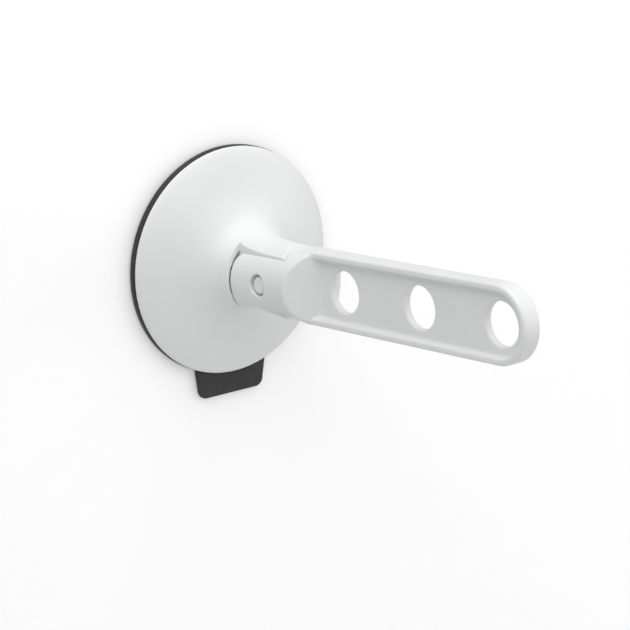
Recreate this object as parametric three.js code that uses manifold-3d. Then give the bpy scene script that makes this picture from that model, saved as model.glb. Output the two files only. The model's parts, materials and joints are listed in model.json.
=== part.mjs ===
// Suction hanger arm: a lever suction cup for a smooth wall, with a folding arm that carries
// clothes hangers in three round holes.
//
// Millimetres. The wall is the plane y = 0 and the object stands out from it towards -Y, with
// +Z up and the hinge along X. The origin is the centre of the cup's sealing face. "Height" means
// distance out from the wall. The arm is drawn as it stands when the cup is locked.
//
// Locking lever: the axle carries the arm and passes through slots in the cover's neck and through
// the eye of the cup's stud. With the arm out, the root of its cheeks bears on the seats beside the
// neck and holds the stud away from the wall. Folding the arm up lets the stud drop.

import * as THREE from 'three';
import { mergeVertices } from 'three/addons/utils/BufferGeometryUtils.js';
import Module from 'manifold-3d';

const wasm = await Module();
wasm.setup();

// ---- driving dimensions ----------------------------------------------------------------------
const GAP = 0.3; // clearance between neighbouring pieces

const COVER_R = 60; // outer radius of the cover
const COVER_LIP = 4.7; // height of the cover's lower edge
const NECK_R = 18.9; // radius of the neck that the arm straddles
const NECK_HALF = 12; // half width of the neck between the arm's cheeks
const SEAT_H = 28.9; // height of the edge round the cheeks' seats
const SEAT_FLOOR = 26.3; // height of the seats' floor
const SPRING_SEAT = 26; // height of the shoulder that the spring pushes on
const SPRING_BORE_R = 11;
const STUD_BORE_R = 7.2;
const STUD_BORE_END = 61;
const BEYOND = 90; // farther than any block that cuts has to reach

const PIN_H = 51.2; // height of the hinge axle
const PIN_Z = -0.5; // the axle lies just below the cup's centre
const PULL = 3.4; // stud travel for each radian of fold
const FOLD = THREE.MathUtils.degToRad(50); // fold from locked to released

const TILT = THREE.MathUtils.degToRad(5.14); // rise of the locked arm
const ARM_R = 18.6; // radius of the arm's root and half height of its paddle
const SLOT_HALF = NECK_HALF + GAP;
const NECK_END = 21.5; // reach of the neck's rounded end beyond the axle
const ROOT_REACH = 21.8; // from the axle to the cheeks' bearing face
const ROOT_CORNER_R = 6; // rounding of the cheeks' upper corner
const DISH_START = 21.1; // where the dishes begin on the root's flanks
const DISH_SLOPE = 0.62; // run along the arm for each millimetre of depth
const PADDLE_START = 15;
const PADDLE_HALF = 6.2; // half thickness of the paddle
const PADDLE_TIP_SCALE = 0.78; // thickness at the tip over thickness at the root
const PADDLE_EDGE = 1.4; // rounding of the paddle's edges
const RIM = 3.1; // width of the rim round the recesses
const WEB_HALF = 2; // half thickness of the web between the recesses
const HOLE_R = 10.5; // hanger holes
const HOLE_FIRST = 49.2; // first hole, from the axle
const HOLE_PITCH = 55.35;
const HOLES = 3;

const AXLE_R = 3;
const AXLE_HALF = 15.3;
const HEAD_R = 4.2; // caps on the axle's ends
const HEAD_OUT = 17.3;
const HEAD_IN = 14.2;
const COUNTERBORE_R = 5.65;
const COUNTERBORE_IN = 13.9;
const BUSH_R = 4.2;

const STUD_R = 5; // shank of the cup's stud
const EYE_R = 6.7; // the stud's thicker end, which carries the eye
const EYE_HALF = 4.6; // half width of the eye between its flats
const FLANGE_LOW = 7.5; // the flange moulded into the cup
const FLANGE_HIGH = 9.7;
const SPRING_R = 8;
const SPRING_WIRE = 0.75;
const SPRING_TURNS = 4;
const WASHER_R = 10.2;
const WASHER_THICK = 1;

const CUP_R = 60.3;
const CUP_EDGE = 4.4; // thickness of the cup's rim
const SEAL_IN = 34; // inner radius of the flat sealing face
const POCKET_R = 13.3; // pocket in the cup that holds the stud's flange
const BOSS_TOP = 11.5;

const TAB_TOP = 22.6; // half widths of the release tab
const TAB_FOOT = 20;
const TAB_END = 72.9;
const TAB_CORNER = 4;
const TAB_LOW = 0.6; // its two faces' heights
const TAB_HIGH = 2.8;

const SCREWS = 4;
const SCREW_CIRCLE = 36;
const SCREW_R = 1.4;
const SCREW_POST_R = 3.7;

// ---- solids ----------------------------------------------------------------------------------
function solid(geometry) {
  const bare = geometry.clone();
  bare.deleteAttribute('normal');
  bare.deleteAttribute('uv');
  const merged = mergeVertices(bare, 1e-4);
  const index = merged.index.array;
  const triangles = [];
  for (let i = 0; i < index.length; i += 3) {
    const [a, b, c] = [index[i], index[i + 1], index[i + 2]];
    if (a !== b && b !== c && c !== a) triangles.push([a, b, c]);
  }
  const inwards = signedVolume(merged.attributes.position, triangles) < 0;
  const triVerts = triangles.flatMap(([a, b, c]) => (inwards ? [a, c, b] : [a, b, c]));
  const vertProperties = new Float32Array(merged.attributes.position.array);
  return new wasm.Manifold(
    new wasm.Mesh({ numProp: 3, vertProperties, triVerts: new Uint32Array(triVerts) }),
  );
}

function signedVolume(position, triangles) {
  const [a, b, c] = [new THREE.Vector3(), new THREE.Vector3(), new THREE.Vector3()];
  return triangles.reduce((sum, [i, j, k]) => {
    a.fromBufferAttribute(position, i);
    b.fromBufferAttribute(position, j);
    c.fromBufferAttribute(position, k);
    return sum + a.dot(b.cross(c)) / 6;
  }, 0);
}

function geometryOf(manifold) {
  const { vertProperties, triVerts } = manifold.getMesh();
  const geometry = new THREE.BufferGeometry();
  geometry.setAttribute('position', new THREE.BufferAttribute(vertProperties, 3));
  geometry.setIndex(new THREE.BufferAttribute(triVerts, 1));
  geometry.computeVertexNormals();
  return geometry;
}

// A solid of revolution about the cup's axis, from [radius, height] pairs.
function turned(profile, segments = 64) {
  const points = profile.map(([radius, height]) => new THREE.Vector2(radius, -height));
  return solid(new THREE.LatheGeometry(points, segments));
}

// A rod square to the wall, between two heights.
function rodOut(radius, low, high, x = 0, z = 0, segments = 24) {
  const rod = new THREE.CylinderGeometry(radius, radius, high - low, segments);
  return solid(rod.translate(x, -(low + high) / 2, z));
}

// A rod along X, at a distance out and up from the local origin.
function rodAcross(radius, from, to, out = 0, up = 0, segments = 28) {
  const rod = new THREE.CylinderGeometry(radius, radius, to - from, segments);
  rod.rotateZ(Math.PI / 2);
  return solid(rod.translate((from + to) / 2, -out, up));
}

// A plate across X from a side outline of [out, up] pairs.
function plateAcross(outline, from, to, bevel = 0) {
  const shape = new THREE.Shape(outline.map(([out, up]) => new THREE.Vector2(out, up)));
  const options = {
    depth: to - from - 2 * bevel,
    bevelEnabled: bevel > 0,
    bevelThickness: bevel,
    bevelSize: bevel,
    bevelOffset: -bevel,
    bevelSegments: 3,
    curveSegments: 12,
  };
  const plate = new THREE.ExtrudeGeometry(shape, options);
  const [out, up, side] = [[0, -1, 0], [0, 0, 1], [-1, 0, 0]].map((v) => new THREE.Vector3(...v));
  plate.applyMatrix4(new THREE.Matrix4().makeBasis(out, up, side));
  return solid(plate.translate(to - bevel, 0, 0));
}

// Points on an arc about [out, up], between two angles from "out" towards "up".
function arc(out, up, radius, from, to, steps = 8) {
  return Array.from({ length: steps + 1 }, (_, i) => {
    const angle = THREE.MathUtils.degToRad(from + ((to - from) * i) / steps);
    const reach = typeof radius === 'function' ? radius(angle) : radius;
    return [out + reach * Math.cos(angle), up + reach * Math.sin(angle)];
  });
}

// A slot's outline with round ends, from one end's centre to the other's.
function slotOutline(from, to, up, radius) {
  return [...arc(to, up, radius, -90, 90, 10), ...arc(from, up, radius, 90, 270, 10)];
}

function mesh(name, shape, color, roughness, metalness = 0) {
  const material = new THREE.MeshStandardMaterial({ color, roughness, metalness });
  const made = new THREE.Mesh(shape.isBufferGeometry ? shape : geometryOf(shape), material);
  made.name = name;
  return made;
}

const WHITE = 0xeceded;
const GREY = 0x9fa3a5;
const RUBBER = 0x38393b;
const STEEL = 0xb9bcc0;

// ---- cup, tab and stud -----------------------------------------------------------------------
function suctionCup() {
  return turned([
    [0, 5], [11, 5], [20, 3], [28, 1], [SEAL_IN, 0], [58.4, 0], [CUP_R, 0.9],
    [CUP_R, CUP_EDGE - 0.6], [CUP_R - 0.6, CUP_EDGE], [49, CUP_EDGE - 0.3], [44, 3.2], [36, 3.4],
    [28, 4.8], [20, 7.6], [15.8, 9.4], [15.2, BOSS_TOP], [5.5, BOSS_TOP], [5.5, 10],
    [POCKET_R, 10], [POCKET_R, 7.2], [0, 7.2],
  ], 56);
}

function releaseTab() {
  const rounding = (side) => {
    const centre = [side * (TAB_FOOT - TAB_CORNER), -TAB_END + TAB_CORNER];
    return arc(...centre, TAB_CORNER, side < 0 ? 185 : 270, side < 0 ? 270 : 355, 5);
  };
  const root = -55; // under the rim, whose circle cuts it
  const outline = [[-TAB_TOP, root], ...rounding(-1), ...rounding(1), [TAB_TOP, root]];
  const shape = new THREE.Shape(outline.map(([x, z]) => new THREE.Vector2(x, z)));
  const thickness = TAB_HIGH - TAB_LOW;
  const plate = new THREE.ExtrudeGeometry(shape, { depth: thickness, bevelEnabled: false });
  plate.rotateX(Math.PI / 2).translate(0, -TAB_LOW, 0);
  return solid(plate).subtract(rodOut(CUP_R + GAP, -1, TAB_HIGH + 1, 0, 0, 96));
}

function cupStud() {
  const flange = POCKET_R - GAP;
  const shank = turned([
    [0, FLANGE_LOW], [flange, FLANGE_LOW], [flange, FLANGE_HIGH], [STUD_R, FLANGE_HIGH],
    [STUD_R, 40], [EYE_R, 42], [EYE_R, 58], [0, 58],
  ], 32);
  // the eye's end is rounded about the axle
  const eye = arc(PIN_H, 0, EYE_R - 0.1, -75, 75, 10);
  const side = [[0, -14], [PIN_H - 8, -14], ...eye, [PIN_H - 8, 14], [0, 14]];
  const trimmed = shank.intersect(plateAcross(side, -14, 14).translate([0, 0, PIN_Z]));
  const flats = [-1, 1].map((s) => {
    const block = new THREE.BoxGeometry(4, 24, 20);
    return solid(block.translate(s * (EYE_HALF + 2), -(PIN_H - 0.5), 0));
  });
  const flatted = flats.reduce((body, flat) => body.subtract(flat), trimmed);
  return flatted.subtract(rodAcross(BUSH_R + GAP, -8, 8, PIN_H, PIN_Z));
}

function springWasher() {
  const [low, high] = [BOSS_TOP + GAP, BOSS_TOP + GAP + WASHER_THICK];
  const bore = STUD_R + GAP;
  return turned([[bore, low], [WASHER_R, low], [WASHER_R, high], [bore, high], [bore, low]], 28);
}

class Helix extends THREE.Curve {
  constructor(radius, low, high, turns) {
    super();
    Object.assign(this, { radius, low, high, turns });
  }

  getPoint(t, target = new THREE.Vector3()) {
    const angle = 2 * Math.PI * this.turns * t;
    const height = this.low + (this.high - this.low) * t;
    return target.set(this.radius * Math.cos(angle), -height, this.radius * Math.sin(angle));
  }
}

function returnSpring() {
  const low = BOSS_TOP + WASHER_THICK + 2 * GAP + SPRING_WIRE;
  const high = SPRING_SEAT - GAP - SPRING_WIRE;
  const extrudePath = new Helix(SPRING_R, low, high, SPRING_TURNS);
  const section = new THREE.Shape().absarc(0, 0, SPRING_WIRE, 0, 2 * Math.PI);
  const options = { steps: 14 * SPRING_TURNS, curveSegments: 3, bevelEnabled: false, extrudePath };
  return solid(new THREE.ExtrudeGeometry(section, options));
}

// ---- cover and what is fixed in it -----------------------------------------------------------
// The cover's outside: a shallow dome that sweeps up into the neck.
function coverOutside() {
  const swept = new THREE.SplineCurve([
    [COVER_R - 1.2, 6.5], [56, 8], [50, 10.1], [44, 11.9], [38, 13.8], [32, 16.2], [27, 19.1],
    [23.5, 22.6], [21.2, 26.4], [19.9, 30.5], [19.2, 35], [NECK_R, 41],
  ].map(([radius, height]) => new THREE.Vector2(radius, height)));
  return swept.getPoints(17).map((p) => [p.x, p.y]);
}

function frontCover() {
  const top = PIN_H + NECK_END + 2;
  const outside = [[COVER_R - 0.6, COVER_LIP], [COVER_R, COVER_LIP + 0.5], [COVER_R, 5.7],
    ...coverOutside(), [NECK_R, top], [0, top]];
  const inside = [[0, STUD_BORE_END], [STUD_BORE_R, STUD_BORE_END], [STUD_BORE_R, SPRING_SEAT],
    [SPRING_BORE_R, SPRING_SEAT], [SPRING_BORE_R, 20.5], [22, 17], [27, 15.4], [32, 13],
    [38, 10.9], [44, 9.1], [50, 7.4], [55, 5.9], [57.2, 5.1], [57.4, COVER_LIP]];
  let cover = turned([...outside, ...inside, outside[0]], 56);

  const boss = screwPlaces().map(([x, z]) => rodOut(SCREW_POST_R, 9.4, 12.6, x, z));
  const pilot = screwPlaces().map(([x, z]) => rodOut(SCREW_R + GAP, 9, 12.2, x, z, 16));
  cover = boss.reduce((body, post) => body.add(post), cover);
  cover = pilot.reduce((body, hole) => body.subtract(hole), cover);

  // the neck stops in a rounded end, and its flanks are cut away above the cheeks' seats
  const end = arc(PIN_H, PIN_Z, neckEnd, -85, 85, 24);
  const kept = [[-5, -BEYOND], [PIN_H - 8, -BEYOND], ...end, [PIN_H - 8, BEYOND], [-5, BEYOND]];
  cover = cover.intersect(plateAcross(kept, -BEYOND, BEYOND));
  const block = (from) => [[from, -BEYOND], [BEYOND, -BEYOND], [BEYOND, BEYOND], [from, BEYOND]];
  for (const flank of [[-BEYOND, -NECK_HALF], [NECK_HALF, BEYOND]]) {
    const above = plateAcross(block(SEAT_H), ...flank);
    const across = plateAcross(block(0), ...flank);
    const footprint = rodOut(ARM_R + 0.5, SEAT_FLOOR, BEYOND, 0, PIN_Z - 1.9, 80);
    cover = cover.subtract(above).subtract(footprint.intersect(across));
  }
  const travel = PULL * FOLD;
  const slot = slotOutline(PIN_H - travel - GAP, PIN_H, PIN_Z, AXLE_R + GAP);
  return cover.subtract(plateAcross(slot, -NECK_HALF - 1, NECK_HALF + 1));
}

// Reach of the neck's end from the axle, a little less below it.
function neckEnd(angle) {
  return NECK_END - (angle < 0 ? 1.8 * Math.sin(angle) ** 2 : 0);
}

function screwPlaces() {
  return Array.from({ length: SCREWS }, (_, i) => {
    const angle = (Math.PI / 2) * i + Math.PI / 4;
    return [SCREW_CIRCLE * Math.cos(angle), SCREW_CIRCLE * Math.sin(angle)];
  });
}

function pressurePlate() {
  const ring = turned([
    [19.5, 9.9], [30, 7.9], [32, 7.1], [40.5, 7.1], [43, 6.2], [47.5, CUP_EDGE + GAP],
    [55.6, CUP_EDGE + GAP], [55.6, 5], [53, 5.7], [48.5, 6.9], [44, 8.6], [42, 9.1], [32.5, 9.1],
    [31, 9.8], [19.5, 12.2], [19.5, 9.9],
  ], 48);
  return screwPlaces().reduce(
    (plate, [x, z]) => plate.subtract(rodOut(SCREW_R + GAP, 5, 12, x, z, 16)),
    ring,
  );
}

function plateScrew() {
  const head = [[0, 5.3], [2.2, 5.3], [2.9, 6], [2.9, 6.8], [SCREW_R, 6.8]];
  const screw = turned([...head, [SCREW_R, 11.4], [0.5, 11.9], [0, 11.9]], 12);
  const cross = [[0.45, 2.2], [2.2, 0.45]].map(([x, z]) => {
    const slot = new THREE.BoxGeometry(2 * x, 1.4, 2 * z);
    return solid(slot.translate(0, -5.4, 0));
  });
  return cross.reduce((body, slot) => body.subtract(slot), screw);
}

// ---- arm, drawn from the axle: out along the arm, up across it ----------------------------------
// The cheeks' root seen from the side: a bearing face, a rounded corner above it, and a heel below
// that stops the arm from dropping.
function rootOutline() {
  const [reach, r] = [ROOT_REACH, ROOT_CORNER_R];
  const corner = arc(r - reach, 12.6 - r, r, 180, 90, 8);
  const heel = [[-reach - 2.5, -15.5], [-reach - 2.4, -16.5], [-reach - 1.6, -17.4]];
  const clear = [[-12, 16], [-12, 30], [60, 30], [60, -30], [-12, -30]];
  return [[-reach, -7], ...corner, ...clear, ...heel.reverse()];
}

// The slot's end clears the neck's end at every angle of the fold, while the axle drops.
function slotEnd(angle) {
  let most = 0;
  for (let fold = 0; fold <= FOLD; fold += FOLD / 60) {
    most = Math.max(most, PULL * fold * Math.cos(fold + angle));
  }
  const margin = 1.03;
  return NECK_END + GAP + margin * most;
}

function turnedBack(outline) {
  const [c, s] = [Math.cos(TILT), Math.sin(TILT)];
  return outline.map(([out, up]) => [out * c + up * s, up * c - out * s]);
}

function paddleOutline(inset) {
  const last = HOLE_FIRST + HOLE_PITCH * (HOLES - 1);
  const half = ARM_R - inset;
  return [[PADDLE_START, -half], ...arc(last - 0.6, 0, half, -90, 90, 24), [PADDLE_START, half]];
}

function paddle() {
  const board = plateAcross(paddleOutline(0), -PADDLE_HALF, PADDLE_HALF, PADDLE_EDGE);
  const recess = [-1, 1].map((side) => {
    const ends = [side * WEB_HALF, side * 30].sort((a, b) => a - b);
    return plateAcross(paddleOutline(RIM), ...ends);
  });
  const opened = recess.reduce((body, cut) => body.subtract(cut), board);
  // the paddle thins towards its tip
  const length = HOLE_FIRST + HOLE_PITCH * (HOLES - 1) + ARM_R;
  return opened.warp((v) => {
    const along = Math.max(0, -v[1] - PADDLE_START) / length;
    if (Math.abs(v[0]) > WEB_HALF + 0.01) v[0] *= 1 - (1 - PADDLE_TIP_SCALE) * along;
  });
}

function root() {
  const bar = rodOut(ARM_R, -30, 36, 0, 0, 72);
  const run = (depth) => DISH_START + DISH_SLOPE * depth;
  const foot = run(ARM_R - WEB_HALF);
  const flank = [[ARM_R + 0.2, -40], [ARM_R + 0.2, DISH_START], [5.5, run(ARM_R - 5.5)],
    [3.6, foot - 0.6], [2.6, foot + 0.6], [WEB_HALF, foot + 3]];
  const outline = [...flank, ...flank.map(([x, out]) => [-x, out]).reverse()];
  const shape = new THREE.Shape(outline.map(([x, out]) => new THREE.Vector2(x, -out)));
  const dishes = new THREE.ExtrudeGeometry(shape, { depth: 60, bevelEnabled: false });
  dishes.translate(0, 0, -30);
  // the dishes' edges stand upright, so in the tilted arm they lean back by the tilt
  const lean = new THREE.Matrix4().set(1, 0, 0, 0, 0, 1, -Math.tan(TILT), 0, 0, 0, 1, 0, 0, 0, 0, 1);
  return bar.intersect(solid(dishes.applyMatrix4(lean)));
}

function arm() {
  let body = root().add(paddle());
  body = body.intersect(plateAcross(turnedBack(rootOutline()), -25, 25).add(farPart()));
  const end = arc(0, 0, slotEnd, -62, 68, 26);
  const last = end[end.length - 1];
  const slot = [[-50, -40], [end[0][0], -40], ...end, [last[0], 40], [-50, 40]];
  body = body.subtract(plateAcross(turnedBack(slot), -SLOT_HALF, SLOT_HALF));
  body = body.subtract(rodAcross(AXLE_R + GAP, -25, 25));
  for (const ends of [[-25, -COUNTERBORE_IN], [COUNTERBORE_IN, 25]]) {
    body = body.subtract(rodAcross(COUNTERBORE_R, ...ends));
  }
  for (let i = 0; i < HOLES; i += 1) {
    body = body.subtract(rodAcross(HOLE_R, -10, 10, HOLE_FIRST + i * HOLE_PITCH, 0, 40));
  }
  return body;
}

// A block that leaves the arm beyond its root as it is.
function farPart() {
  return plateAcross([[40, -30], [240, -30], [240, 30], [40, 30]], -25, 25);
}

function axleCap(side) {
  const [near, far] = [HEAD_IN, HEAD_OUT].map((x) => side * x).sort((a, b) => a - b);
  const socket = [side * HEAD_IN - side, side * (AXLE_HALF + GAP)].sort((a, b) => a - b);
  return rodAcross(HEAD_R, near, far).subtract(rodAcross(AXLE_R + GAP, ...socket));
}

// ---- assembly --------------------------------------------------------------------------------
const object = new THREE.Group();
object.add(
  mesh('suction_cup', suctionCup(), RUBBER, 0.75),
  mesh('release_tab', releaseTab(), RUBBER, 0.75),
  mesh('pressure_plate', pressurePlate(), GREY, 0.55),
  mesh('front_cover', frontCover(), WHITE, 0.45),
  mesh('return_spring', returnSpring(), STEEL, 0.3, 1),
  mesh('cup_stud', cupStud(), STEEL, 0.4, 1),
  mesh('spring_washer', springWasher(), STEEL, 0.35, 1),
);
screwPlaces().forEach(([x, z], i) => {
  const screw = mesh(`plate_screw_${i + 1}`, plateScrew(), STEEL, 0.35, 1);
  screw.position.set(x, 0, z);
  object.add(screw);
});

const hinge = new THREE.Group();
hinge.position.set(0, -PIN_H, PIN_Z);
const bush = rodAcross(BUSH_R, -4.4, 4.4).subtract(rodAcross(AXLE_R + GAP, -6, 6));
hinge.add(
  mesh('eye_bush', bush, GREY, 0.5),
  mesh('hinge_axle', rodAcross(AXLE_R, -AXLE_HALF, AXLE_HALF), STEEL, 0.3, 1),
  mesh('axle_cap_left', axleCap(-1), WHITE, 0.45),
  mesh('axle_cap_right', axleCap(1), WHITE, 0.45),
);
const lever = new THREE.Group();
lever.rotation.x = -TILT;
lever.add(mesh('arm', arm(), WHITE, 0.45));
hinge.add(lever);
object.add(hinge);

export default object;
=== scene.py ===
"""A suction hanger arm on a pale wall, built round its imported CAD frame.

The visible shells are made as distance fields, in millimetres, with the rounded edges of moulded
plastic, and turned into meshes in metres. "out" is the distance from the wall, towards -Y.
"""
import json
import math

import bpy
import bmesh
import numpy as np
from mathutils import Matrix, Vector


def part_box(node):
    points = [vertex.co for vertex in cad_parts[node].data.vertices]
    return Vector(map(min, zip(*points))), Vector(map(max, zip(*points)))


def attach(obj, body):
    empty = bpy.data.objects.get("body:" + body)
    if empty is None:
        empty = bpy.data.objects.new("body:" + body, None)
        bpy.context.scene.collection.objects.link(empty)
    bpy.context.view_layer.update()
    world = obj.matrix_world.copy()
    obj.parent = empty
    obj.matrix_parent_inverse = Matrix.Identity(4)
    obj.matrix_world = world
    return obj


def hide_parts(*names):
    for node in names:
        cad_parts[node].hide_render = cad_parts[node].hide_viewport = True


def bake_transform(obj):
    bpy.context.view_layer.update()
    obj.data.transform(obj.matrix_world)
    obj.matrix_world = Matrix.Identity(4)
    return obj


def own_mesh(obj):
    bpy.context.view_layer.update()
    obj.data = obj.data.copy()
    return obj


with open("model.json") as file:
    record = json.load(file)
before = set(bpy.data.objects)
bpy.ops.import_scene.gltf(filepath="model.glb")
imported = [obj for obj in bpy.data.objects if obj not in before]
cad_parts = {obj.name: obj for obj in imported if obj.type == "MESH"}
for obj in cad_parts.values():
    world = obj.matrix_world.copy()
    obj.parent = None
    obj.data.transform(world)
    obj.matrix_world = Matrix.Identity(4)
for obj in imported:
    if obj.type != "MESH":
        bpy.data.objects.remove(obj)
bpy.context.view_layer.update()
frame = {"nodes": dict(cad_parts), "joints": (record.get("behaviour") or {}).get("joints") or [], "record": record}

MM = 0.001

# ---- sizes that the frame gives -------------------------------------------------------------------
joints = {joint["name"]: joint for joint in frame["joints"]}
PIN_OUT = -joints["arm_fold"]["pos_m"][1] / MM
PIN_UP = joints["arm_fold"]["pos_m"][2] / MM
FOLD = math.radians(joints["arm_fold"]["range_deg"][1])
PULL = frame["record"]["behaviour"]["couplings"][0]["ratio"] / MM
COVER_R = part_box("front_cover")[1].x / MM
CUP_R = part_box("suction_cup")[1].x / MM
TAB_LOW = -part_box("release_tab")[1].y / MM
TAB_HIGH = -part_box("release_tab")[0].y / MM
TAB_END = -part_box("release_tab")[0].z / MM

# ---- sizes of the moulded shells, in millimetres ------------------------------------------------
GAP = 0.15
NECK_R, NECK_HALF, NECK_END = 18.9, 12, 21.5
SEAT_H, SEAT_FLOOR = 28.9, 26.3
TILT = math.radians(5.14)
ARM_R = 18.6
SLOT_HALF = 12.3
ROOT_REACH, ROOT_CORNER_R = 22.15, 6
DISH_START, DISH_SLOPE = 21.1, 0.62
PADDLE_START, PADDLE_HALF, PADDLE_TIP_SCALE, SHOULDER = 15, 6.2, 0.78, 0.35
RIM, RIM_SLOPE, WEB_HALF = 3.1, 0.25, 2
HOLE_R, HOLE_FIRST, HOLE_PITCH, HOLES = 10.5, 49.2, 55.35, 3
TIP_SHIFT = -0.63
TIP_CENTRE = HOLE_FIRST + HOLE_PITCH * (HOLES - 1) + TIP_SHIFT
AXLE_R, HEAD_R, HEAD_OUT, HEAD_IN = 3, 4.2, 17.3, 14.2
COUNTERBORE_R, COUNTERBORE_IN = 5.65, 13.9
SLOT_TOP, SLOT_FOOT = math.radians(68), math.radians(-62)
SEAT_DROP, SEAT_CLEAR = 1.9, 0.2
CUP_SPLIT, CUP_MIDDLE_TOP = 49, 11.5

# ---- roundings of their edges and inner corners, in millimetres -----------------------------------
NOSE_EDGE, PADDLE_EDGE, RIM_EDGE, HOLE_EDGE, COUNTERBORE_EDGE = 0.9, 1.3, 0.45, 1.0, 0.4
RECESS_FILLET, NOSE_FILLET, NECK_FILLET = 1.0, 1.0, 1.5
ROOT_EDGE, SLOT_END_EDGE, SLOT_EDGE, SEAT_EDGE, NECK_EDGE = 0.3, 0.15, 0.4, 0.3, 0.2


# ---- distance fields ------------------------------------------------------------------------------
# Each is negative inside. The rounded forms leave a true fillet where two surfaces meet.
def both(a, b, r=0.0):
    """The overlap of two shapes, with its outer edge rounded."""
    if np.ndim(r) == 0 and r == 0:
        return np.maximum(a, b)
    corner = np.sqrt(np.maximum(a + r, 0) ** 2 + np.maximum(b + r, 0) ** 2)
    return np.minimum(-r, np.maximum(a, b)) + corner


def either(a, b, r=0.0):
    """The two shapes joined, with the inner corner filled."""
    return -both(-a, -b, r)


def cut(a, b, r=0.0):
    return both(a, -b, r)


def polygon(px, py, points):
    """Distance to a closed outline."""
    px, py = np.broadcast_arrays(px, py)
    nearest = np.full(px.shape, np.inf)
    inside = np.zeros(px.shape, bool)
    for (ax, ay), (bx, by) in zip(points, points[1:] + points[:1]):
        ex, ey = bx - ax, by - ay
        wx, wy = px - ax, py - ay
        t = np.clip((wx * ex + wy * ey) / (ex * ex + ey * ey + 1e-12), 0, 1)
        nearest = np.minimum(nearest, (wx - ex * t) ** 2 + (wy - ey * t) ** 2)
        crosses = (ay > py) != (by > py)
        if ey:
            inside ^= crosses & (px < ax + ex * (py - ay) / ey)
    return np.sqrt(nearest) * np.where(inside, -1, 1)


class Outline:
    """The distance to a closed outline, read off a fine table."""
    def __init__(self, points, pitch=0.2, margin=3):
        low, high = np.min(points, 0) - margin, np.max(points, 0) + margin
        self.low, self.pitch = low, pitch
        across, along = (np.arange(l, h, pitch) for l, h in zip(low, high))
        self.table = polygon(across[:, None], along[None, :], points)

    def __call__(self, px, py):
        limit = np.array(self.table.shape) - 1.001
        i = np.clip((px - self.low[0]) / self.pitch, 0, limit[0])
        j = np.clip((py - self.low[1]) / self.pitch, 0, limit[1])
        i0, j0 = i.astype(int), j.astype(int)
        a, b = i - i0, j - j0
        t = self.table
        return ((t[i0, j0] * (1 - a) + t[i0 + 1, j0] * a) * (1 - b)
                + (t[i0, j0 + 1] * (1 - a) + t[i0 + 1, j0 + 1] * a) * b)


def arc(x, y, radius, start, end, steps):
    angles = [math.radians(start + (end - start) * i / steps) for i in range(steps + 1)]
    return [(x + radius * math.cos(a), y + radius * math.sin(a)) for a in angles]


def smooth_line(points, steps):
    """A Catmull-Rom curve through the points."""
    p = [points[0], *points, points[-1]]
    line = []
    for a, b, c, d in zip(p, p[1:], p[2:], p[3:]):
        for i in range(steps):
            t = i / steps
            line.append(tuple(
                0.5 * (2 * b[k] + (c[k] - a[k]) * t + (2 * a[k] - 5 * b[k] + 4 * c[k] - d[k]) * t * t
                       + (3 * b[k] - a[k] - 3 * c[k] + d[k]) * t ** 3)
                for k in (0, 1)))
    return line + [points[-1]]


# ---- meshing --------------------------------------------------------------------------------------
def grid_line(low, high, *zones):
    """Grid lines from low to high. Each zone is (start, step), and holds up to the next start."""
    lines = [low]
    while lines[-1] < high:
        step = [zone[1] for zone in zones if zone[0] <= lines[-1] + 1e-6 or zone is zones[0]][-1]
        lines.append(lines[-1] + step)
    return np.array(lines)


def surface_of(field, axes):
    """Vertices and four-sided faces of the field's zero surface, one vertex to a grid cell."""
    value = np.broadcast_to(
        field(axes[0][:, None, None], axes[1][None, :, None], axes[2][None, None, :]),
        [len(a) for a in axes]).astype(np.float32)
    cells = np.array(value.shape) - 1
    total = np.zeros((int(cells.prod()), 3))
    count = np.zeros(int(cells.prod()))
    quads = []
    strides = np.array([cells[1] * cells[2], cells[2], 1])
    for axis in range(3):
        other = [k for k in range(3) if k != axis]
        a = np.take(value, range(value.shape[axis] - 1), axis)
        b = np.take(value, range(1, value.shape[axis]), axis)
        at = np.argwhere((a < 0) != (b < 0))
        keep = np.all([(at[:, k] > 0) & (at[:, k] < value.shape[k] - 1) for k in other], axis=0)
        at = at[keep]
        va, vb = a[tuple(at.T)], b[tuple(at.T)]
        point = at.astype(float)
        point[:, axis] += va / (va - vb)
        corner = at @ strides
        ring = [corner, corner - strides[other[0]], corner - strides[other[0]] - strides[other[1]],
                corner - strides[other[1]]]
        for cell in ring:
            for k in range(3):
                total[:, k] += np.bincount(cell, point[:, k], len(total))
            count += np.bincount(cell, minlength=len(total))
        quads.append(np.stack(ring, 1))
    used = np.flatnonzero(count)
    renumber = np.zeros(len(count), int)
    renumber[used] = np.arange(len(used))
    place = total[used] / count[used][:, None]
    vertices = np.stack([np.interp(place[:, k], np.arange(len(axes[k])), axes[k])
                         for k in range(3)], 1)
    finest = min(np.diff(a).min() for a in axes)
    return onto(field, vertices, finest), renumber[np.concatenate(quads)].tolist()


def onto(field, points, step):
    """Moves the points onto the field's surface, along its slope, by small moves."""
    rounds, reach, flattest, longest = 5, 0.02, 0.2, 0.4 * step
    for _ in range(rounds):
        here = field(*points.T)
        slope = np.stack([
            field(*(points + reach * np.eye(3)[k]).T) - field(*(points - reach * np.eye(3)[k]).T)
            for k in range(3)], 1) / (2 * reach)
        size = np.maximum((slope ** 2).sum(1), flattest)
        move = -slope * (here / size)[:, None]
        length = np.linalg.norm(move, axis=1)
        points = points + move * np.minimum(1, longest / np.maximum(length, 1e-9))[:, None]
    return points


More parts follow.
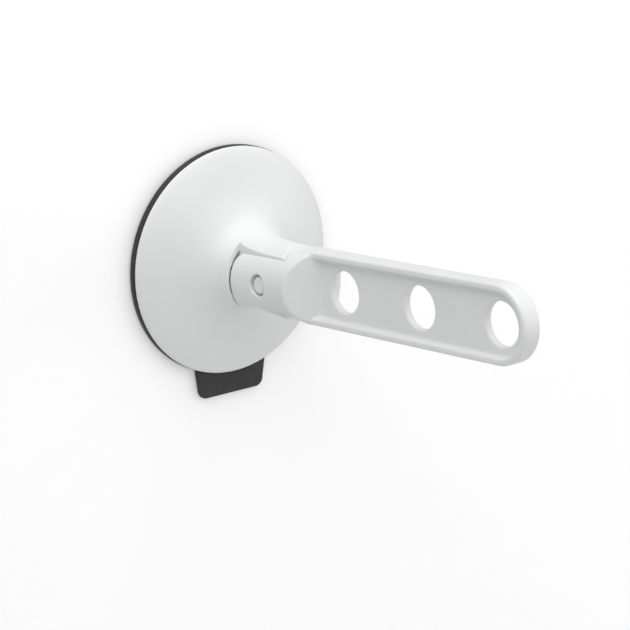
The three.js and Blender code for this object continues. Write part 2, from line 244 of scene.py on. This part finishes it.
def add_mesh(name, vertices, faces):
    """A smooth-shaded object from vertices in millimetres, with its faces turned outwards."""
    data = bpy.data.meshes.new(name)
    data.from_pydata((np.asarray(vertices) * MM).tolist(), [], faces)
    work = bmesh.new()
    work.from_mesh(data)
    bmesh.ops.recalc_face_normals(work, faces=work.faces)
    if work.calc_volume(signed=True) < 0:
        bmesh.ops.reverse_faces(work, faces=work.faces)
    work.to_mesh(data)
    work.free()
    data.shade_smooth()
    made = bpy.data.objects.new(name, data)
    bpy.context.scene.collection.objects.link(made)
    return made


def moulded(name, field, axes):
    return add_mesh(name, *surface_of(field, axes))


def turned(name, profile, segments=160):
    """A closed solid of revolution about the cup's axis, from (radius, out) pairs. A pair on the
    axis is one vertex."""
    angles = np.arange(segments) * 2 * math.pi / segments
    vertices, rings = [], []
    for radius, out in profile:
        if radius < 1e-6:
            rings.append([len(vertices)] * segments)
            vertices.append((0, -out, 0))
        else:
            rings.append(list(range(len(vertices), len(vertices) + segments)))
            vertices += [(radius * math.cos(a), -out, radius * math.sin(a)) for a in angles]
    closed = profile[0][0] > 1e-6
    pairs = list(zip(rings, rings[1:])) + ([(rings[-1], rings[0])] if closed else [])
    faces = []
    for a, b in pairs:
        for i in range(segments):
            j = (i + 1) % segments
            corners = list(dict.fromkeys([a[i], a[j], b[j], b[i]]))
            if len(corners) > 2:
                faces.append(corners)
    return add_mesh(name, vertices, faces)


# ---- materials --------------------------------------------------------------------------------------
NOISE_LOW, NOISE_HIGH = 0.3, 0.7


def new_material(name, color, roughness, metallic=0.0):
    material = bpy.data.materials.new(name)
    material.use_nodes = True
    shader = material.node_tree.nodes["Principled BSDF"]
    shader.inputs["Base Color"].default_value = (*color, 1)
    shader.inputs["Roughness"].default_value = roughness
    shader.inputs["Metallic"].default_value = metallic
    return material, shader


def noise(material, scale, detail=3.0):
    """Noise over the object's own coordinates, in metres."""
    nodes, links = material.node_tree.nodes, material.node_tree.links
    place = nodes.new("ShaderNodeTexCoord")
    texture = nodes.new("ShaderNodeTexNoise")
    texture.inputs["Scale"].default_value = scale
    texture.inputs["Detail"].default_value = detail
    links.new(place.outputs["Object"], texture.inputs["Vector"])
    return texture.outputs["Fac"]


def level_between(material, value, low, high):
    """A number from low to high, over the middle of the noise's range."""
    node = material.node_tree.nodes.new("ShaderNodeMapRange")
    node.inputs["From Min"].default_value = NOISE_LOW
    node.inputs["From Max"].default_value = NOISE_HIGH
    node.inputs["To Min"].default_value = low
    node.inputs["To Max"].default_value = high
    material.node_tree.links.new(value, node.inputs["Value"])
    return node.outputs["Result"]


def color_between(material, value, low, high):
    """A colour from low to high, over the middle of the noise's range."""
    node = material.node_tree.nodes.new("ShaderNodeValToRGB")
    for element, position, color in zip(node.color_ramp.elements, (NOISE_LOW, NOISE_HIGH), (low, high)):
        element.position = position
        element.color = (*color, 1)
    material.node_tree.links.new(value, node.inputs["Fac"])
    return node.outputs["Color"]


def bumped(material, shader, height, strength, distance):
    nodes, links = material.node_tree.nodes, material.node_tree.links
    bump = nodes.new("ShaderNodeBump")
    bump.inputs["Strength"].default_value = strength
    bump.inputs["Distance"].default_value = distance
    links.new(height, bump.inputs["Height"])
    links.new(bump.outputs["Normal"], shader.inputs["Normal"])


def plastic(name, low, high, roughness, grain=2600, strength=0.12):
    """Moulded plastic: a fine spark-eroded grain, and a slow drift in colour and gloss."""
    material, shader = new_material(name, high, roughness)
    links = material.node_tree.links
    color = color_between(material, noise(material, 28, 2), low, high)
    links.new(color, shader.inputs["Base Color"])
    gloss = level_between(material, noise(material, 70), roughness - 0.04, roughness + 0.05)
    links.new(gloss, shader.inputs["Roughness"])
    bumped(material, shader, noise(material, grain, 2), strength, 0.00004)
    shader.inputs["IOR"].default_value = 1.49
    shader.inputs["Subsurface Weight"].default_value = 0.06
    shader.inputs["Subsurface Radius"].default_value = (0.0012, 0.0012, 0.0012)
    return material


def rubber(name):
    """Moulded rubber: matt, with a faint bloom in patches."""
    material, shader = new_material(name, (0.023, 0.0235, 0.024), 0.62)
    links = material.node_tree.links
    dark, light = (0.019, 0.0195, 0.02), (0.027, 0.0275, 0.028)
    color = color_between(material, noise(material, 45, 4), dark, light)
    links.new(color, shader.inputs["Base Color"])
    links.new(level_between(material, noise(material, 160), 0.54, 0.7), shader.inputs["Roughness"])
    bumped(material, shader, noise(material, 1500, 3), 0.25, 0.00006)
    shader.inputs["Sheen Weight"].default_value = 0.15
    shader.inputs["Sheen Roughness"].default_value = 0.5
    return material


def steel(name):
    """Turned steel: a fine grain, and a drift in gloss."""
    material, shader = new_material(name, (0.6, 0.61, 0.63), 0.3, 1.0)
    gloss = level_between(material, noise(material, 320), 0.24, 0.4)
    material.node_tree.links.new(gloss, shader.inputs["Roughness"])
    bumped(material, shader, noise(material, 3200, 2), 0.2, 0.00003)
    return material


WHITE = plastic("white_plastic", (0.80, 0.815, 0.808), (0.835, 0.848, 0.842), 0.42)
GREY = plastic("inner_plastic", (0.33, 0.34, 0.35), (0.38, 0.39, 0.4), 0.5, 1800)
RUBBER = rubber("cup_rubber")
STEEL = steel("turned_steel")


def finished(piece, body, slot, material, *nodes):
    """Gives the piece its material, lets it ride a body, if one is named, and lets it
    stand for its CAD nodes. The slot argument is not used."""
    piece.data.materials.clear()
    piece.data.materials.append(material)
    if body:
        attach(piece, body)
    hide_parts(*nodes)


# ---- arm --------------------------------------------------------------------------------------------
def slot_end(angle):
    """Reach from the axle of the slot's end, which clears the neck all through the fold."""
    most, spare = np.zeros_like(angle), 1.03
    for fold in np.linspace(0, FOLD, 16):
        most = np.maximum(most, PULL * fold * np.cos(fold + angle))
    return NECK_END + GAP + spare * most


def root_outline():
    """The cheeks' root seen from the side: bearing face, rounded upper corner, and heel."""
    corner = arc(ROOT_CORNER_R - ROOT_REACH, 12.6 - ROOT_CORNER_R, ROOT_CORNER_R, 180, 90, 12)
    heel = arc(-ROOT_REACH - 1.3, -16.3, 1.1, 150, 250, 6)
    return [(-ROOT_REACH, -7), *corner, (-12, 16), (-12, 30), (60, 30), (60, -30), (-12, -30),
            *reversed(heel)]


ROOT_OUTLINE = Outline(root_outline())


def arm_field(x, back, v):
    """The arm in its own frame: x across, -back along its length from the axle, v up."""
    u, side = -back, np.abs(x)
    c, s = math.cos(TILT), math.sin(TILT)
    out, up = u * c - v * s, v * c + u * s

    bar = np.sqrt(x * x + v * v) - ARM_R
    dish = (u - DISH_START - DISH_SLOPE * (ARM_R - side) - math.tan(TILT) * v)
    root = both(bar, dish / math.hypot(1, DISH_SLOPE), NOSE_EDGE)

    past = np.maximum(u - TIP_CENTRE, 0)
    edge = np.where(u > TIP_CENTRE, np.sqrt(past ** 2 + v * v), np.abs(v)) - ARM_R
    thin = 1 - (1 - PADDLE_TIP_SCALE) * np.clip((u - PADDLE_START) / TIP_CENTRE, 0, 1)
    face = side - PADDLE_HALF * thin
    swell = (bar - SHOULDER * (u - NECK_END)) / math.hypot(1, SHOULDER)
    board = both(both(both(edge, face, PADDLE_EDGE), PADDLE_START - u), swell)
    wall = (edge + RIM - RIM_SLOPE * face) / math.hypot(1, RIM_SLOPE)
    recess = both(wall, WEB_HALF - side, RECESS_FILLET)
    rim = cut(board, recess, RIM_EDGE)
    body = either(root, rim, NOSE_FILLET)
    body = np.maximum(body, edge)

    kept = np.minimum(ROOT_OUTLINE(out, up), 30 - u)
    body = both(body, kept, ROOT_EDGE)

    reach, angle = np.sqrt(out ** 2 + up ** 2), np.arctan2(up, out)
    high, low = (slot_end(np.array(a)) * math.cos(a) for a in (SLOT_TOP, SLOT_FOOT))
    end = np.minimum(reach - slot_end(angle), np.maximum(out - high, -up))
    end = np.minimum(np.minimum(end, np.maximum(out - low, up)), out)
    wall = side - SLOT_HALF
    body = cut(body, np.maximum(wall, end), np.where(end > wall, SLOT_END_EDGE, SLOT_EDGE))

    body = cut(body, reach - AXLE_R - GAP)
    body = cut(body, both(reach - COUNTERBORE_R, COUNTERBORE_IN - side), COUNTERBORE_EDGE)
    for i in range(HOLES):
        hole = np.sqrt((u - HOLE_FIRST - i * HOLE_PITCH) ** 2 + v * v) - HOLE_R
        body = cut(body, hole, HOLE_EDGE)
    return body


def even_grid(node, step, margin=1.5):
    """An even grid over a CAD node's box."""
    low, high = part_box(node)
    return [grid_line(l / MM - margin, h / MM + margin, (0, step)) for l, h in zip(low, high)]


def make_arm():
    """The grid follows the tilted arm, and is fine at the slot's walls and round the cheeks."""
    reach, wide = TIP_CENTRE + ARM_R + 1.5, ARM_R + 1.5
    across = grid_line(-wide, wide, (-wide, 0.6), (-SLOT_HALF - 1.2, 0.25),
                       (-SLOT_HALF + 1, 0.6), (SLOT_HALF - 1, 0.25), (SLOT_HALF + 1.2, 0.6))
    along = grid_line(-reach, ROOT_REACH + 6, (-reach, 0.7), (-32, 0.45))
    up = grid_line(-wide, wide, (-wide, 0.5))
    arm = moulded("hanger_arm", arm_field, [across, along, up])
    arm.data.transform(Matrix.Translation((0, -PIN_OUT * MM, PIN_UP * MM))
                       @ Matrix.Rotation(-TILT, 4, "X"))
    finished(arm, "lever", "white_plastic", WHITE, "arm")


# ---- cover ------------------------------------------------------------------------------------------
def cover_profile():
    """The cover's wall in (radius, out): a shallow dome swept up into the neck, hollow behind."""
    swept = smooth_line([
        (COVER_R, 5.7), (58.8, 6.7), (56, 8), (50, 10.1), (44, 11.9), (38, 13.8), (32, 16.2),
        (27, 19.1), (23.5, 22.6), (21.2, 26.4), (19.9, 30.5), (19.2, 35), (NECK_R, 41)], 5)
    top = PIN_OUT + NECK_END + 2
    inside = [(7.2, 61), (7.2, 26), (11, 26), (11, 20.5), (22, 17), (27, 15.4), (32, 13),
              (38, 10.9), (44, 9.1), (50, 7.3), (56, 6), (56.8, 4.7)]
    return [(COVER_R - 0.6, 4.7), (COVER_R, 5.2), *swept, (NECK_R, top), (-1, top), (-1, 61), *inside]


COVER_PROFILE = Outline(cover_profile(), 0.15)


def cover_field(x, y, z):
    """The cover, with its neck's top brought flush with the arm, and its seats, end and slot."""
    out = -y
    radius, side = np.sqrt(x * x + z * z), np.abs(x)
    past, up = out - PIN_OUT, z - PIN_UP
    lift = up * math.cos(TILT) - past * math.sin(TILT)
    flush = np.maximum(np.sqrt(x * x + lift ** 2) - ARM_R, 4 - past)
    body = either(COVER_PROFILE(radius, out), np.maximum(flush, 10 - up), NECK_FILLET)
    beside = NECK_HALF - side
    above = np.maximum(beside, SEAT_H - out)
    pocket = np.sqrt(x * x + (up + SEAT_DROP) ** 2) - ARM_R - SEAT_CLEAR
    seat = np.maximum(SEAT_FLOOR - out, pocket)
    body = cut(body, np.minimum(above, np.maximum(beside, seat)), SEAT_EDGE)

    angle = np.arctan2(up, past)
    end = NECK_END - np.where(angle < 0, 1.8 * np.sin(angle) ** 2, 0)
    reach = np.sqrt(past ** 2 + up ** 2)
    body = both(body, np.minimum(reach - end, past + 4), NECK_EDGE)
    travel = PULL * FOLD + GAP
    slot = np.sqrt((past - np.clip(past, -travel, 0)) ** 2 + up ** 2) - AXLE_R - GAP
    return cut(body, slot)


def make_cover():
    """The grid is fine round the neck and the seats, and at the lip."""
    edge, neck, top = COVER_R + 2, 24, PIN_OUT + NECK_END + 3
    across = grid_line(-edge, edge, (-edge, 1.0), (-neck, 0.45), (-NECK_HALF - 1, 0.25),
                       (-NECK_HALF + 1, 0.5), (NECK_HALF - 1, 0.25), (NECK_HALF + 1, 0.45),
                       (neck, 1.0))
    up = grid_line(-edge, edge, (-edge, 1.0), (-neck, 0.45), (neck, 1.0))
    along = grid_line(-top, -2, (-top, 0.8), (-SEAT_H - 3, 0.4), (-20, 0.6), (-8, 0.4))
    finished(moulded("domed_cover", cover_field, [across, along, up]), "base",
             "white_plastic", WHITE, "front_cover")


# ---- cup and tab ------------------------------------------------------------------------------------
def rounded(points, radius, steps=3):
    """A profile with each inner corner rounded."""
    line = [points[0]]
    for a, b, c in zip(points, points[1:], points[2:]):
        a, b, c = (np.array(p, float) for p in (a, b, c))
        before, after = a - b, c - b
        reach = min(radius, 0.45 * np.linalg.norm(before), 0.45 * np.linalg.norm(after))
        start = b + before / np.linalg.norm(before) * reach
        end = b + after / np.linalg.norm(after) * reach
        for i in range(steps + 1):
            t = i / steps
            line.append(tuple((1 - t) ** 2 * start + 2 * t * (1 - t) * b + t * t * end))
    return line + [points[-1]]


def make_cup():
    rim = rounded([(CUP_SPLIT, 1.5), (CUP_SPLIT, 0), (58.4, 0), (CUP_R, 0.9), (CUP_R, 3.8),
                   (59.7, 4.4), (CUP_SPLIT, 4.1), (CUP_SPLIT, 1.5)], 0.7)[:-1]
    finished(turned("cup_rim", rim, 224), "base", "cup_rubber", RUBBER, "suction_cup")

    # the middle's underside carries two shallow sealing ribs
    ribs = [point for r in (37.5, 43) for point in ((r - 1, 0.25), (r, 0), (r + 1, 0.25))]
    under = [(0, 4.4), (11, 4.4), (20, 3), (28, 1), (34, 0.1), *ribs, (CUP_SPLIT, 0)]
    over = [(CUP_SPLIT, 4.1), (44, 3.2), (36, 3.4), (28, 4.8), (20, 7.6), (15.8, 9.4),
            (15.2, CUP_MIDDLE_TOP), (5.5, CUP_MIDDLE_TOP), (5.5, 10), (13.3, 10), (13.3, 5.5), (0, 5.5)]
    middle = turned("cup_middle", rounded([*under, *over], 0.8), 160)
    finished(middle, "base", "cup_rubber", RUBBER, "suction_cup")
    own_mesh(middle)


def tab_field(x, y, z):
    """A flat tab that narrows downwards, with soft corners and edges."""
    half_top, half_foot, corner = 22.6, 20, 4
    slope = (half_top - half_foot) / (TAB_END - 55)
    flank = np.abs(x) - (half_foot + slope * (z + TAB_END))
    outline = both(flank / math.hypot(1, slope), -z - TAB_END, corner)
    outline = np.maximum(outline, CUP_R + 0.06 - np.sqrt(x * x + z * z))
    middle = (TAB_LOW + TAB_HIGH) / 2
    face = np.abs(-y - middle) - (TAB_HIGH - TAB_LOW) / 2
    return both(outline, face, 0.45)


def make_tab():
    tab = moulded("release_tab_skin", tab_field, even_grid("release_tab", 0.5))
    finished(tab, None, "cup_rubber", RUBBER, "release_tab")
    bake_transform(tab)


def make_cap(side, name):
    """A button on the axle's end, slightly dished, with a soft edge."""
    profile = rounded([(0, HEAD_OUT - 0.25), (1.2, HEAD_OUT - 0.2), (HEAD_R - 0.5, HEAD_OUT),
                       (HEAD_R, HEAD_OUT - 0.5), (HEAD_R, HEAD_IN), (0, HEAD_IN)], 0.35)
    cap = turned(name + "_button", profile, 48)
    across = Matrix.Rotation(math.pi / 2 * side, 4, "Z")
    cap.data.transform(Matrix.Translation((0, -PIN_OUT * MM, PIN_UP * MM)) @ across)
    finished(cap, "lever", "white_plastic", WHITE, name)


# ---- pieces -----------------------------------------------------------------------------------------
make_arm()
make_cover()
make_cup()
make_tab()
make_cap(-1, "axle_cap_left")
make_cap(1, "axle_cap_right")

FINISHES = {"white_plastic": WHITE, "inner_plastic": GREY, "cup_rubber": RUBBER, "steel": STEEL}
for part in frame["record"]["subparts"]:
    node = frame["nodes"][part["node"]]
    if not node.hide_render:
        for holder in node.material_slots:
            holder.material = FINISHES[part["material_slot"]]

# ---- wall, floor, light and camera --------------------------------------------------------------------
PALE = (0.93, 0.93, 0.93)
WALL_GLOW = 0.22


def stage_plane(name, size, place, rotation, seen_through=False):
    """A pale plane that isn't part of the object."""
    bpy.ops.mesh.primitive_plane_add(size=size, location=place, rotation=rotation)
    plane = bpy.context.object
    plane.name = name
    material, shader = new_material(name, PALE, 0.9)
    shader.inputs["Specular IOR Level"].default_value = 0.1
    if seen_through:
        # seen from behind, the wall lets the view through
        nodes, links = material.node_tree.nodes, material.node_tree.links
        clear, mix = nodes.new("ShaderNodeBsdfTransparent"), nodes.new("ShaderNodeMixShader")
        links.new(nodes.new("ShaderNodeNewGeometry").outputs["Backfacing"], mix.inputs["Fac"])
        links.new(shader.outputs["BSDF"], mix.inputs[1])
        links.new(clear.outputs["BSDF"], mix.inputs[2])
        links.new(mix.outputs["Shader"], nodes["Material Output"].inputs["Surface"])
        # nor does it shade the cup's back, which lies against it
        plane.visible_shadow = False
        plane.visible_diffuse = False
        plane.visible_glossy = False
        shader.inputs["Emission Color"].default_value = (1, 1, 1, 1)
        shader.inputs["Emission Strength"].default_value = WALL_GLOW
    plane.data.materials.append(material)


stage_plane("wall", 8, (0, 0.0004, 0), (math.pi / 2, 0, 0), seen_through=True)
stage_plane("floor", 12, (0, 0, -1.2), (0, 0, 0))

AIM, AWAY, SOFTBOX = Vector((0, -0.08, 0)), 2.2, 1.5


def softbox(name, direction, watts):
    """A round softbox that shines on the object from a direction."""
    data = bpy.data.lights.new(name, "AREA")
    data.shape = "DISK"
    data.size = SOFTBOX
    data.energy = watts
    lamp = bpy.data.objects.new(name, data)
    lamp.location = Vector(direction).normalized() * AWAY
    lamp.rotation_euler = (AIM - lamp.location).to_track_quat("-Z", "Y").to_euler()
    bpy.context.scene.collection.objects.link(lamp)


softbox("key_above_left", (-0.6, -0.35, 1.1), 15)
softbox("above", (0.1, -0.15, 1), 15)
softbox("upper_left", (-1, -0.7, 0.8), 4)
softbox("upper_right", (1, -0.7, 0.8), 4)
softbox("right", (1, -0.7, 0), 7.5)
softbox("front", (0, -1, 0.7), 4)

world = bpy.data.worlds.new("studio")
world.use_nodes = True
world.node_tree.nodes["Background"].inputs["Color"].default_value = (1, 1, 1, 1)
world.node_tree.nodes["Background"].inputs["Strength"].default_value = 0.43
bpy.context.scene.world = world
bpy.context.scene.view_settings.view_transform = "Standard"

ROLL = math.radians(-0.40)
TARGET = Vector((14.1, -56.62, -20.38)) * MM
PLACE = Vector((-613.7, -857.2, 284.1)) * MM
camera_data = bpy.data.cameras.new("camera")
camera_data.sensor_width = 36
camera_data.lens = 119.9
camera = bpy.data.objects.new("camera", camera_data)
turn = (TARGET - PLACE).to_track_quat("-Z", "Y").to_matrix().to_4x4()
camera.matrix_world = Matrix.Translation(PLACE) @ turn @ Matrix.Rotation(ROLL, 4, "Z")
bpy.context.scene.collection.objects.link(camera)
bpy.context.scene.camera = camera
